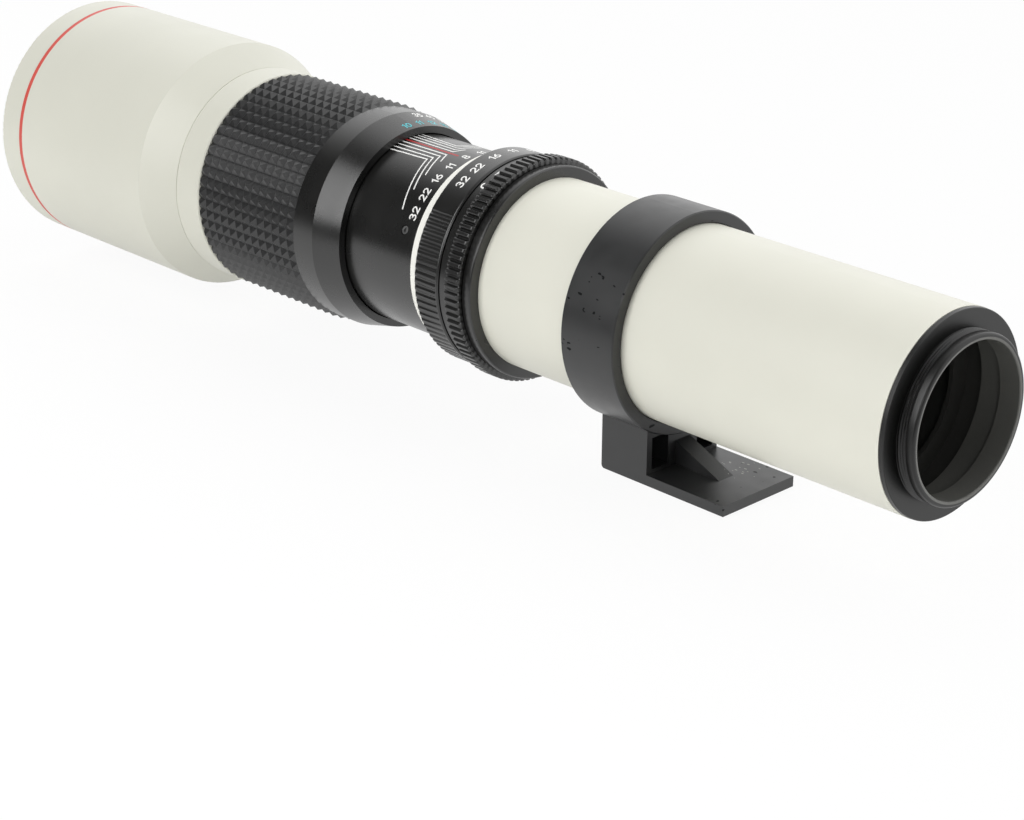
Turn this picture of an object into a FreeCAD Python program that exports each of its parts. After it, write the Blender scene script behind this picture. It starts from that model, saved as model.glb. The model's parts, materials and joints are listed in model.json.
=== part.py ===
import FreeCAD, Part
import math
import os
import Sketcher
from FreeCAD import Placement, Rotation, Vector

# A long telephoto lens with a T2 screw mount, a turning focus barrel, a preset ring, an aperture
# ring with a working iris, and a tripod collar that turns about the tube.
# X is the optical axis. The camera end is at +X, the front glass at -X, and Z is up.
# X = 0 is the face of the rear flange that meets the adapter.
# A station is a distance in front of that face, so station 100 lies at X = -100.
# An angle about the axis starts at the top (+Z) and grows towards -Y.

SIZES = {
    # play and seats
    "turn_gap": 0.3,
    "seat_gap": 0.05,
    "face_gap": 0.2,
    # rear mount ring with its T2 thread
    "thread_radius": 21.0,
    "thread_reach": 4.8,
    "thread_lead_in": 0.5,
    "throat_radius": 19.3,
    "throat_depth": 6.0,
    "flange_radius": 25.65,
    "flange_thick": 1.4,
    "flange_bevel": 0.15,
    "mount_spigot": 6.8,
    "spigot_wall": 2.2,
    # main tube
    "tube_radius": 25.75,
    "tube_wall": 1.75,
    "tube_span": 129.6,
    # shoulder ring between the tube and the iris housing
    "shoulder_radius": 28.8,
    "shoulder_span": 2.8,
    "fine_bevel": 0.3,
    "shoulder_web": 1.0,
    "shoulder_spigot": 6.4,
    # iris housing
    "seat_radius": 26.6,
    "housing_wall": 1.0,
    "iris_room": 10.2,
    "nose_radius": 24.85,
    "nose_wall": 1.35,
    "nose_span": 11.4,
    # aperture ring and preset ring
    "aperture_radius": 30.4,
    "aperture_ribs_span": 5.2,
    "aperture_hub_radius": 28.9,
    "aperture_hub_span": 3.1,
    "rib_count": 92,
    "rib_depth": 0.7,
    "rib_groove": 0.95,
    "preset_radius": 29.4,
    "preset_span": 8.9,
    "ring_edge": 0.4,
    "knurl_depth": 0.4,
    "knurl_groove": 0.95,
    "knurl_rim": 0.8,
    "knurl_step_angle": 3.913,
    "knurl_count": 64,
    "knurl_start_angle": 52.0,
    # cream spacer ring and black scale barrel
    "spacer_radius": 27.2,
    "spacer_span": 3.6,
    "scale_radius": 26.1,
    "scale_bore": 24.9,
    "scale_span": 56.8,
    "scale_shown": 27.15,
    # lens cell sleeve, which slides on two keys
    "sleeve_wall": 1.1,
    "sleeve_clear": 1.5,
    "sleeve_waist": 27.3,
    "sleeve_belly": 32.6,
    "sleeve_web": 1.8,
    "key_width": 4.0,
    "key_span": 5.0,
    "key_depth": 0.9,
    "key_setback": 2.0,
    "focus_travel": 23.5,
    # front barrel: hood, cone and neck
    "hood_radius": 36.05,
    "hood_wall": 1.6,
    "hood_span": 68.4,
    "cone_span": 11.1,
    "cone_shift": 1.5,
    "neck_radius": 31.05,
    "neck_wall": 1.6,
    "neck_span": 9.8,
    "neck_step": 1.2,
    "neck_seam": 0.25,
    "seam_depth": 0.15,
    "rim_round": 0.6,
    "line_setback": 8.85,
    "line_width": 1.5,
    "line_depth": 0.15,
    "joint_spigot": 14.0,
    "joint_wall": 1.0,
    # focus sleeve with its band, bevel and rubber grip
    "focus_bore": 26.4,
    "bevel_radius": 28.35,
    "bevel_span": 8.85,
    "band_radius": 30.35,
    "band_span": 7.8,
    "grip_seat": 28.95,
    "grip_radius": 31.25,
    "grip_span": 40.9,
    "grip_rows": 12.78,
    "grip_row_depth": 1.1,
    "grip_columns": 60,
    # hood liner with the 67 mm filter thread
    "filter_radius": 33.5,
    "filter_depth": 5.0,
    "liner_radius": 33.0,
    "liner_setback": 0.4,
    # objective: a flint behind a crown, held in the cell by a ring
    "objective_radius": 31.8,
    "objective_setback": 44.6,
    "flint_edge": 6.2,
    "crown_edge": 3.4,
    "crown_front_curve": 160.0,
    "inner_curve": 210.0,
    "flint_rear_curve": 900.0,
    "glass_gap": 0.1,
    "glass_spare": 8.0,
    "seat_lip": 1.4,
    "retainer_thick": 2.4,
    "retainer_lip": 1.2,
    "cell_lip": 1.2,
    # rear glass pair in its own cell
    "rear_cell_station": 52.0,
    "rear_cell_span": 15.0,
    "rear_glass_radius": 18.2,
    "rear_glass_edge": 4.2,
    "rear_hollow_curve": 95.0,
    "rear_outer_curve": 180.0,
    "baffle_station": 14.0,
    "baffle_thick": 1.2,
    "baffle_opening": 18.6,
    # iris
    "blade_count": 10,
    "open_radius": 16.0,
    "blade_outer": 21.6,
    "blade_thick": 0.15,
    "blade_pitch": 0.25,
    "blade_sweep_angle": 100.0,
    "blade_root_angle": 4.0,
    "pivot_radius": 22.9,
    "drive_arm": 4.0,
    "iris_pin": 0.35,
    "iris_pin_play": 0.05,
    "ear_wall": 0.6,
    "blade_turn_angle": 30.4,
    "aperture_turn_angle": 45.0,
    "plate_thick": 1.0,
    "cam_thick": 3.0,
    "slot_depth": 1.2,
    "clip_thick": 0.8,
    "clip_width": 1.4,
    "link_radius": 0.6,
    "link_angle": 180.0,
    "link_slot_spare_angle": 8.0,
    # preset click
    "click_radius": 0.7,
    "click_standout": 0.35,
    "click_spring": 0.8,
    "click_track": 0.75,
    "click_angle": 10.0,
    "preset_low_angle": -22.0,
    "preset_high_angle": 30.0,
    "preset_stops": 5,
    # grub screws that hold the scale barrel
    "scale_screw_radius": 1.25,
    "scale_screw_setback": 5.6,
    "scale_screw_angle": 66.9,
    # tripod collar
    "collar_rear": 80.4,
    "collar_span": 17.65,
    "collar_radius": 29.1,
    "collar_bore": 26.55,
    "collar_edge": 0.3,
    "liner_cloth": 0.5,
    "liner_inset": 1.0,
    "foot_half": 13.35,
    "foot_drop": 40.8,
    "foot_span": 41.55,
    "foot_plate": 2.8,
    "foot_round": 1.0,
    "block_setback": 2.0,
    "gusset_width": 5.3,
    "gusset_span": 15.1,
    "gusset_top": 31.5,
    "pocket_rim": 1.9,
    "pocket_width": 6.0,
    "pocket_depth": 8.0,
    "pocket_top": 28.3,
    "pocket_floor": 1.0,
    "socket_radius": 3.175,
    "bush_radius": 4.6,
    "bush_span": 8.0,
    # collar lock
    "boss_radius": 5.6,
    "boss_reach": 33.0,
    "lock_radius": 2.5,
    "lock_play": 0.08,
    "lock_neck_radius": 4.2,
    "lock_neck_span": 2.0,
    "lock_knob_radius": 7.0,
    "lock_knob_span": 9.0,
    "lock_notch": 1.1,
    "lock_notch_count": 12,
    "lock_angle": 270.0,
    "pad_radius": 2.35,
    "pad_thick": 1.3,
}

# Stations, bores and fits that follow from the sizes above.
DERIVED = {
    "tube_bore": "tube_radius - tube_wall",
    "tube_fit": "tube_bore - seat_gap",
    "tube_front": "flange_thick + tube_span",
    "shoulder_front": "tube_front + shoulder_span",
    "housing_rear": "tube_front + shoulder_web",
    "iris_bore": "seat_radius - housing_wall",
    "ring_bore": "seat_radius + turn_gap",
    "aperture_rear": "shoulder_front + face_gap",
    "ribs_front": "aperture_rear + aperture_ribs_span",
    "aperture_front": "ribs_front + aperture_hub_span",
    "preset_rear": "aperture_front + face_gap",
    "preset_front": "preset_rear + preset_span",
    "preset_middle": "preset_rear + preset_span / 2",
    "housing_front": "preset_front + face_gap",
    "iris_front": "housing_rear + iris_room",
    "nose_bore": "nose_radius - nose_wall",
    "nose_front": "housing_front + nose_span",
    "scale_rear": "housing_front + spacer_span",
    "scale_front": "scale_rear + scale_span",
    "scale_screw_station": "scale_rear + scale_screw_setback",
    "bevel_rear": "scale_rear + scale_shown",
    "band_rear": "bevel_rear + bevel_span",
    "grip_rear": "band_rear + band_span",
    "grip_front": "grip_rear + grip_span",
    "grip_pitch": "grip_span / grip_rows",
    "neck_shoulder": "grip_front + neck_step",
    "neck_front": "grip_front + neck_span",
    "cone_front": "neck_front + cone_span",
    "hood_front": "cone_front + hood_span",
    "line_front": "hood_front - line_setback",
    "neck_bore": "neck_radius - neck_wall",
    "hood_bore": "hood_radius - hood_wall",
    "spigot_radius": "focus_bore + joint_wall",
    "spigot_rear": "grip_front - joint_spigot",
    "sleeve_rear": "nose_front + focus_travel + sleeve_clear",
    "sleeve_outer": "scale_bore - turn_gap",
    "sleeve_inner": "sleeve_outer - sleeve_wall",
    "sleeve_step": "neck_shoulder + turn_gap",
    "cell_bore": "objective_radius + glass_gap",
    "key_station": "scale_front - key_setback - key_span",
    "objective_seat": "hood_front - objective_setback",
    "flint_rear": "objective_seat + glass_gap",
    "crown_rear": "flint_rear + flint_edge + glass_gap",
    "retainer_rear": "crown_rear + crown_edge + glass_gap",
    "retainer_bore": "objective_radius - retainer_lip",
    "crown_rim_depth": "sqrt( crown_front_curve ^ 2 - objective_radius ^ 2 )",
    "crown_rise": "sqrt( crown_front_curve ^ 2 - retainer_bore ^ 2 ) - crown_rim_depth",
    "cell_front": "retainer_rear + retainer_thick + cell_lip",
    "liner_rear": "cell_front + turn_gap",
    "plate_rear": "iris_front - plate_thick",
    "cam_front": "plate_rear - blade_count * blade_pitch - face_gap",
    "cam_rear": "cam_front - cam_thick",
    "clip_front": "cam_rear - face_gap / 2",
    "link_station": "cam_rear + ( cam_thick - slot_depth ) / 2",
    "collar_front": "collar_rear + collar_span",
    "collar_middle": "collar_rear + collar_span / 2",
    "collar_lip": "tube_radius + turn_gap",
    "block_rear": "collar_rear + block_setback",
    "foot_rear": "collar_front - foot_span",
    "foot_top": "foot_drop - foot_plate",
    "rear_cell_front": "rear_cell_station + rear_cell_span",
    "rear_glass_seat": "rear_cell_front - seat_lip",
    "pad_base": "collar_bore - liner_cloth",
}

os.makedirs("parts", exist_ok=True)
doc = FreeCAD.newDocument("telephoto_lens")
sheet = doc.addObject("Spreadsheet::Sheet", "Sizes")
for row, (alias, value) in enumerate(SIZES.items(), start=1):
    sheet.set(f"A{row}", alias)
    sheet.set(f"B{row}", str(value))
    sheet.setAlias(f"B{row}", alias)
for row, (alias, formula) in enumerate(DERIVED.items(), start=1):
    sheet.set(f"D{row}", alias)
    sheet.set(f"E{row}", "=" + formula)
    sheet.setAlias(f"E{row}", alias)
doc.recompute()

pieces = []
AXIS = Vector(1, 0, 0)
# Where a sketch's corners and circles start, before their constraints carry them to their places.
ROUGH_MIDDLE = Vector(-60, 40, 0)
ROUGH_REACH = 20
ROUGH_CIRCLE = Part.Circle(Vector(-5, 5, 0), Vector(0, 0, 1), 2)


def size(alias):
    """The value of one named size."""
    return float(sheet.get(alias))


def bound(text):
    """A formula in the names of the sheet, with the sheet's name before each."""
    words = text.split()
    return " ".join(f"Sizes.{word}" if word in SIZES or word in DERIVED else word for word in words)


def tie(thing, prop, text):
    """Binds a property to a formula of named sizes."""
    thing.setExpression(prop, bound(text))


def new_body(label):
    body = doc.addObject("PartDesign::Body", label)
    body.Label = label
    pieces.append(body)
    return body


def plane(body, role):
    """One of a body's own origin planes."""
    return next(item for item in body.Origin.OriginFeatures if item.Role == role)


def new_sketch(body, name, role, turn="0", lift="0"):
    """A sketch on an origin plane, turned about X and lifted along its own normal."""
    sketch = body.newObject("Sketcher::SketchObject", f"{body.Label}_{name}")
    sketch.AttachmentSupport = [(plane(body, role), "")]
    sketch.MapMode = "FlatFace"
    if turn == "0":
        if lift != "0":
            tie(sketch, "AttachmentOffset.Base.z", lift)
        return sketch
    sketch.AttachmentOffset = Placement(Vector(0, 0, 0), Rotation(AXIS, 1))
    tie(sketch, "AttachmentOffset.Rotation.Angle", turn)
    if lift != "0":
        tie(sketch, "AttachmentOffset.Base.y", f"-1 * ( {lift} ) * sin( ( {turn} ) * 1 deg )")
        tie(sketch, "AttachmentOffset.Base.z", f"( {lift} ) * cos( ( {turn} ) * 1 deg )")
    return sketch


def pin_vertex(sketch, line, across, up):
    """Ties the first end of a line: 'across' runs against the sketch's x, 'up' along its y."""
    for text, kind, axis in ((across, "DistanceX", -2), (up, "DistanceY", -1)):
        if text == "0":
            sketch.addConstraint(Sketcher.Constraint("PointOnObject", line, 1, axis))
            continue
        ends = (line, 1, -1, 1) if kind == "DistanceX" else (-1, 1, line, 1)
        if text.startswith("minus "):
            ends = ends[2:] + ends[:2]
            text = text[len("minus "):]
        index = sketch.addConstraint(Sketcher.Constraint(kind, *ends, 1.0))
        tie(sketch, f"Constraints[{index}]", text)


def draw_outline(sketch, outline):
    """A closed outline of straight lines through points given as pairs of formulas."""
    first = sketch.GeometryCount
    count = len(outline)
    turns = [2 * math.pi * k / count for k in range(count)]
    corners = [ROUGH_MIDDLE + Vector(-math.cos(turn), math.sin(turn), 0) * ROUGH_REACH for turn in turns]
    for k in range(count):
        sketch.addGeometry(Part.LineSegment(corners[k], corners[(k + 1) % count]), False)
    for k in range(count):
        sketch.addConstraint(Sketcher.Constraint("Coincident", first + k, 2, first + (k + 1) % count, 1))
    for k, (across, up) in enumerate(outline):
        pin_vertex(sketch, first + k, across, up)


def draw_circle(sketch, across, up, radius):
    sketch.addGeometry(ROUGH_CIRCLE, False)
    for text, kind, axis in ((across, "DistanceX", -2), (up, "DistanceY", -1)):
        if text == "0":
            sketch.addConstraint(Sketcher.Constraint("PointOnObject", 0, 3, axis))
            continue
        ends = (0, 3, -1, 1) if kind == "DistanceX" else (-1, 1, 0, 3)
        index = sketch.addConstraint(Sketcher.Constraint(kind, *ends, 1.0))
        tie(sketch, f"Constraints[{index}]", text)
    index = sketch.addConstraint(Sketcher.Constraint("Radius", 0, 1.0))
    tie(sketch, f"Constraints[{index}]", radius)


def turned(label, outline, datum="0"):
    """A ring turned about the optical axis. Points are (station, radius) from the datum plane."""
    body = new_body(label)
    sketch = new_sketch(body, "outline", "XZ_Plane")
    draw_outline(sketch, outline)
    spin = body.newObject("PartDesign::Revolution", f"{label}_turning")
    spin.Profile = sketch
    spin.ReferenceAxis = (sketch, ["H_Axis"])
    spin.Angle = 360
    if datum != "0":
        tie(body, "Placement.Base.x", datum)
    return body


def pad(body, sketch, length, reverse=False, middle=False):
    feature = body.newObject("PartDesign::Pad", f"{sketch.Name}_pad")
    feature.Profile = sketch
    tie(feature, "Length", length)
    feature.Reversed = reverse
    feature.Midplane = middle
    return feature


def pocket(body, sketch, length, reverse=False, middle=False):
    feature = body.newObject("PartDesign::Pocket", f"{sketch.Name}_cut")
    feature.Profile = sketch
    tie(feature, "Length", length)
    feature.Reversed = reverse
    feature.Midplane = middle
    return feature


def repeat(body, feature, count, angle="360"):
    """Repeats a feature about the optical axis."""
    pattern = body.newObject("PartDesign::PolarPattern", f"{feature.Name}_ring")
    pattern.Originals = [feature]
    pattern.Axis = (plane_axis(body), [""])
    tie(pattern, "Angle", angle)
    tie(pattern, "Occurrences", count)
    body.Tip = pattern
    return pattern


def plane_axis(body):
    return next(item for item in body.Origin.OriginFeatures if item.Role == "X_Axis")


def radial_hole(body, name, station, radius, angle, reach, start="0"):
    """A round hole that points outwards at an angle, from the start radius to the reach."""
    sketch = new_sketch(body, name, "XY_Plane", turn=angle, lift=start)
    draw_circle(sketch, station, "0", radius)
    return pocket(body, sketch, reach, reverse=True)


def edges_where(shape, test):
    """Names of the edges whose middle point and curve pass a test."""
    return [f"Edge{k}" for k, edge in enumerate(shape.Edges, start=1) if test(edge)]


def round_circles(body, station, radius, amount, kind="Fillet"):
    """Rounds or bevels the circular edge at a station and a radius."""
    doc.recompute()
    near = 1e-3

    def on_circle(edge):
        curve = edge.Curve
        if curve.TypeId != "Part::GeomCircle":
            return False
        return abs(curve.Radius - size(radius)) < near and abs(curve.Center.x + size(station)) < near

    base = body.Tip
    names = edges_where(base.Shape, on_circle)
    feature = body.newObject(f"PartDesign::{kind}", f"{body.Label}_{kind}_{station}".replace(" ", ""))
    feature.Base = (base, names)
    tie(feature, "Radius" if kind == "Fillet" else "Size", amount)
    return feature


def disc_at(label, radius, span, station):
    """A plain cylinder along the optical axis, its front face at a station."""
    disc = doc.addObject("Part::Cylinder", label)
    tie(disc, "Radius", radius)
    tie(disc, "Height", span)
    disc.Placement = Placement(Vector(0, 0, 0), Rotation(Vector(0, 1, 0), 90))
    tie(disc, "Placement.Base.x", f"-1 * ( {station} )")
    return disc


def ball_at(label, radius, station):
    ball = doc.addObject("Part::Sphere", label)
    tie(ball, "Radius", radius)
    tie(ball, "Placement.Base.x", f"-1 * ( {station} )")
    return ball


def join(kind, label, base, tool):
    result = doc.addObject(f"Part::{kind}", label)
    result.Base = base
    result.Tool = tool
    return result


def lens_element(label, radius, rear, edge, front_curve, rear_curve):
    """A ground disc of glass. A curve is (radius, shape), with shape bulged or hollow."""
    blank = disc_at(f"{label}_blank", radius, f"{edge} + 2 * glass_spare", f"{rear} + {edge} + glass_spare")
    glass = blank
    for side, (curve, shape), station in (
        ("front", front_curve, f"{rear} + {edge}"),
        ("rear", rear_curve, rear),
    ):
        outward = (side == "front") == (shape == "hollow")
        sign = "+" if outward else "-"
        centre = f"{station} {sign} sqrt( {curve} ^ 2 - {radius} ^ 2 )"
        ball = ball_at(f"{label}_{side}_curve", curve, centre)
        kind = "Common" if shape == "bulged" else "Cut"
        name = label if side == "rear" else f"{label}_{side}"
        glass = join(kind, name, glass, ball)
    return glass


def rear_mount():
    """The flange, the T2 thread's cylinder and the spigot that fits the tube, in one turned piece."""
    reach = "thread_reach"
    flange = f"{reach} + flange_thick"
    return turned("rear_mount_ring", [
        ("0", "throat_radius + thread_lead_in / 2"),
        ("0", "thread_radius - thread_lead_in"),
        ("thread_lead_in", "thread_radius"),
        (reach, "thread_radius"),
        (reach, "flange_radius - flange_bevel"),
        (f"{reach} + flange_bevel", "flange_radius"),
        (flange, "flange_radius"),
        (flange, "tube_fit"),
        (f"{flange} + mount_spigot", "tube_fit"),
        (f"{flange} + mount_spigot", "tube_fit - spigot_wall"),
        ("throat_depth", "tube_fit - spigot_wall"),
        ("throat_depth", "throat_radius"),
        ("thread_lead_in", "throat_radius"),
    ], datum=reach)


def fixed_tube():
    turned("rear_tube", [
        ("flange_thick", "tube_bore"),
        ("flange_thick", "tube_radius"),
        ("tube_front", "tube_radius"),
        ("tube_front", "tube_bore"),
    ])
    turned("rear_baffle", [
        ("baffle_station", "baffle_opening"),
        ("baffle_station", "tube_fit"),
        ("baffle_station + 3 * baffle_thick", "tube_fit"),
        ("baffle_station + 3 * baffle_thick", "tube_fit - baffle_thick"),
        ("baffle_station + baffle_thick", "tube_fit - baffle_thick"),
        ("baffle_station + baffle_thick", "baffle_opening"),
    ])


def rear_glass():
    """The rear pair: a hollow-ground disc and a bowed one, against a lip in a turned cell."""
    bore = "rear_glass_radius + seat_gap"
    lip = "rear_glass_radius - seat_lip"
    turned("rear_cell", [
        ("rear_cell_station", bore),
        ("rear_cell_station", "tube_fit"),
        ("rear_cell_front", "tube_fit"),
        ("rear_cell_front", lip),
        ("rear_glass_seat", lip),
        ("rear_glass_seat", bore),
    ])
    front_rear = "rear_glass_seat - glass_gap - rear_glass_edge"
    back_rear = f"{front_rear} - glass_gap - rear_glass_edge"
    front = lens_element("rear_glass_front", "rear_glass_radius", front_rear, "rear_glass_edge",
                         ("rear_outer_curve", "hollow"), ("rear_hollow_curve", "hollow"))
    back = lens_element("rear_glass_back", "rear_glass_radius", back_rear, "rear_glass_edge",
                        ("rear_hollow_curve", "bulged"), ("rear_outer_curve", "hollow"))
    pieces.extend([front, back])
    ring_front = f"{back_rear} - glass_gap"
    turned("rear_retainer", [
        ("rear_cell_station", "rear_glass_radius - seat_lip"),
        ("rear_cell_station", "rear_glass_radius"),
        (ring_front, "rear_glass_radius"),
        (ring_front, "rear_glass_radius - seat_lip"),
    ])


def shoulder():
    """The black ring that joins the tube to the iris housing and keeps the aperture ring on."""
    turned("shoulder_ring", [
        ("tube_front - shoulder_spigot", "tube_fit - spigot_wall"),
        ("tube_front - shoulder_spigot", "tube_fit"),
        ("tube_front", "tube_fit"),
        ("tube_front", "shoulder_radius - fine_bevel"),
        ("tube_front + fine_bevel", "shoulder_radius"),
        ("shoulder_front", "shoulder_radius"),
        ("shoulder_front", "seat_radius + seat_gap"),
        ("housing_rear", "seat_radius + seat_gap"),
        ("housing_rear", "tube_fit - spigot_wall"),
    ])


def iris_housing():
    """The fixed drum that both rings turn on. Its nose carries the spacer and the scale barrel."""
    body = turned("iris_housing", [
        ("housing_rear", "iris_bore"),
        ("housing_rear", "seat_radius"),
        ("housing_front", "seat_radius"),
        ("housing_front", "nose_radius"),
        ("nose_front", "nose_radius"),
        ("nose_front", "nose_bore"),
        ("iris_front", "nose_bore"),
        ("iris_front", "iris_bore"),
    ])
    half = "( link_radius + turn_gap )"
    slot = new_sketch(body, "link_slot", "XZ_Plane", turn="link_angle + aperture_turn_angle / 2")
    draw_outline(slot, [
        (f"link_station - {half}", "iris_bore - face_gap"),
        (f"link_station - {half}", "seat_radius + face_gap"),
        (f"link_station + {half}", "seat_radius + face_gap"),
        (f"link_station + {half}", "iris_bore - face_gap"),
    ])
    groove = body.newObject("PartDesign::Groove", "iris_housing_slot")
    groove.Profile = slot
    groove.ReferenceAxis = (slot, ["H_Axis"])
    tie(groove, "Angle", "aperture_turn_angle + link_slot_spare_angle")
    groove.Midplane = True
    radial_hole(body, "click_hole", "preset_middle", "click_radius + seat_gap", "click_angle",
                "click_radius * 4", start="seat_radius - 2 * click_radius - click_spring + click_standout")


def ring_of_notches(body, name, rear, front, radius, depth, mouth, count, spread="360", start="0"):
    """Straight notches across a ring's rim, repeated round the axis."""
    sketch = new_sketch(body, name, "XY_Plane", turn=start, lift=f"{radius} - {depth}")
    draw_outline(sketch, [
        (rear, f"{mouth} / 2"),
        (front, f"{mouth} / 2"),
        (front, f"minus {mouth} / 2"),
        (rear, f"minus {mouth} / 2"),
    ])
    cut = pocket(body, sketch, f"2 * {depth}", reverse=True)
    return repeat(body, cut, count, spread)


def aperture_ring():
    """A ribbed ring with a plain hub in front. A screw ties it to the iris cam inside."""
    body = turned("aperture_ring", [
        ("aperture_rear", "ring_bore"),
        ("aperture_rear", "aperture_radius - rib_depth"),
        ("aperture_rear + ring_edge", "aperture_radius"),
        ("ribs_front - ring_edge", "aperture_radius"),
        ("ribs_front", "aperture_radius - ring_edge"),
        ("ribs_front", "aperture_hub_radius"),
        ("aperture_front", "aperture_hub_radius"),
        ("aperture_front", "ring_bore"),
    ])
    radial_hole(body, "link_hole", "link_station", "link_radius + seat_gap", "link_angle", "aperture_radius")
    ring_of_notches(body, "ribs", "aperture_rear - ring_edge", "ribs_front + ring_edge", "aperture_radius",
                    "rib_depth", "rib_groove", "rib_count")


def preset_ring():
    """A ring with click stops in its bore and a grip knurl on all but the numbered arc."""
    body = turned("preset_ring", [
        ("preset_rear", "ring_bore"),
        ("preset_rear", "preset_radius - ring_edge"),
        ("preset_rear + ring_edge", "preset_radius"),
        ("preset_front - ring_edge", "preset_radius"),
        ("preset_front", "preset_radius - ring_edge"),
        ("preset_front", "ring_bore"),
        ("preset_middle + click_radius + turn_gap", "ring_bore"),
        ("preset_middle + click_radius + turn_gap", "ring_bore + click_track"),
        ("preset_middle - click_radius - turn_gap", "ring_bore + click_track"),
        ("preset_middle - click_radius - turn_gap", "ring_bore"),
    ])
    step = (size("preset_high_angle") - size("preset_low_angle")) / (size("preset_stops") - 1)
    for stop in range(int(size("preset_stops"))):
        turn = f"click_angle + preset_low_angle + {step * stop}"
        radial_hole(body, f"stop_{stop + 1}", "preset_middle", "click_radius", turn,
                    "click_track + click_radius", start="ring_bore")
    ring_of_notches(body, "knurl", "preset_rear + knurl_rim", "preset_front + ring_edge", "preset_radius",
                    "knurl_depth", "knurl_groove", "knurl_count", "knurl_step_angle * ( knurl_count - 1 )",
                    "knurl_start_angle")


def preset_click():
    """The ball and spring that click the preset ring."""
    ball = doc.addObject("Part::Sphere", "click_ball")
    tie(ball, "Radius", "click_radius")
    tie(ball, "Placement.Base.x", "-1 * preset_middle")
    middle = "( seat_radius + click_standout - click_radius )"
    tie(ball, "Placement.Base.y", f"-1 * {middle} * sin( click_angle * 1 deg )")
    tie(ball, "Placement.Base.z", f"{middle} * cos( click_angle * 1 deg )")
    spring = doc.addObject("Part::Cylinder", "click_spring")
    spring.Placement = Placement(Vector(0, 0, 0), Rotation(AXIS, 1))
    tie(spring, "Radius", "click_radius - seat_gap")
    tie(spring, "Height", "click_spring - seat_gap")
    foot = "( seat_radius + click_standout - 2 * click_radius - click_spring )"
    tie(spring, "Placement.Base.x", "-1 * preset_middle")
    tie(spring, "Placement.Base.y", f"-1 * {foot} * sin( click_angle * 1 deg )")
    tie(spring, "Placement.Base.z", f"{foot} * cos( click_angle * 1 deg )")
    tie(spring, "Placement.Rotation.Angle", "click_angle")
    pieces.extend([ball, spring])


def scale_barrel():
    """The cream spacer, and the black barrel that the focus sleeve screws along."""
    turned("spacer_ring", [
        ("housing_front", "nose_radius + seat_gap"),
        ("housing_front", "spacer_radius"),
        ("scale_rear", "spacer_radius"),
        ("scale_rear", "nose_radius + seat_gap"),
    ])
    body = turned("scale_barrel", [
        ("scale_rear", "scale_bore"),
        ("scale_rear", "scale_radius"),
        ("scale_front", "scale_radius"),
        ("scale_front", "scale_bore"),
    ])
    hole = radial_hole(body, "screw", "scale_screw_station", "scale_screw_radius", "scale_screw_angle",
                       "scale_radius")
    repeat(body, hole, "3")
    screws = []
    for number in range(3):
        turn = f"( scale_screw_angle + {120 * number} )"
        screw = doc.addObject("Part::Cylinder", f"scale_screw_{number + 1}")
        screw.Placement = Placement(Vector(0, 0, 0), Rotation(AXIS, 1))
        tie(screw, "Radius", "scale_screw_radius - seat_gap")
        tie(screw, "Height", "scale_radius - scale_bore - face_gap")
        for axis, wave in (("y", f"-1 * sin( {turn} * 1 deg )"), ("z", f"cos( {turn} * 1 deg )")):
            tie(screw, f"Placement.Base.{axis}", f"{wave} * scale_bore")
        tie(screw, "Placement.Base.x", "-1 * scale_screw_station")
        tie(screw, "Placement.Rotation.Angle", turn)
        screws.append(screw)
    group(screws, "scale_screws")


def group(members, label):
    """Separate solids kept together under one name."""
    compound = doc.addObject("Part::Compound", label)
    compound.Links = members
    pieces.append(compound)


def focus_keys():
    """Two keys on the scale barrel's bore. They keep the lens cell from turning."""
    keys = []
    for name, side in (("upper", 1), ("lower", -1)):
        key = doc.addObject("Part::Box", f"focus_key_{name}")
        tie(key, "Length", "key_span")
        tie(key, "Width", "key_width")
        tie(key, "Height", "key_depth + turn_gap")
        tie(key, "Placement.Base.x", "-1 * ( key_station + key_span )")
        tie(key, "Placement.Base.y", "-1 * key_width / 2")
        inner = "sqrt( scale_bore ^ 2 - key_width ^ 2 / 4 ) - key_depth - turn_gap - seat_gap"
        outer = "-1 * ( sqrt( scale_bore ^ 2 - key_width ^ 2 / 4 ) - seat_gap )"
        tie(key, "Placement.Base.z", inner if side > 0 else outer)
        keys.append(key)
    group(keys, "focus_keys")


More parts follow.
